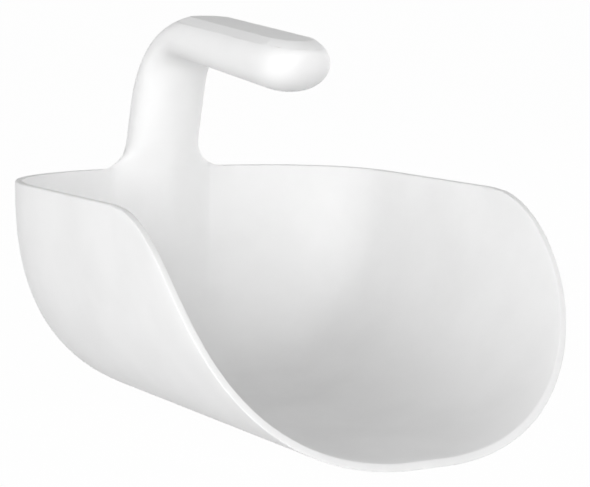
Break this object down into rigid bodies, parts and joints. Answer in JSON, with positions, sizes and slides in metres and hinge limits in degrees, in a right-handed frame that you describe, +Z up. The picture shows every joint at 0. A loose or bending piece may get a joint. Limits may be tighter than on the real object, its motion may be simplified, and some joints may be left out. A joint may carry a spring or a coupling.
{
  "type": "hand scoop",
  "caption": "White plastic hand scoop: a round-bottomed open bowl with a swept mouth and a bent handle rising from its back wall, for lifting dry goods or ice.",
  "frame": {"origin": "on the floor under the middle of the scoop's length and width", "axes": "+Z up, -Y out of the mouth, +Y to the back wall that carries the handle, X across"},
  "size_m": [0.192, 0.24, 0.1745],
  "materials": {
    "white_plastic": "smooth satin moulding"
  },
  "bodies": {
    "root": {"bowl": "white_plastic", "handle": "white_plastic", "grip_cover": "white_plastic"}
  },
  "joints": []
}
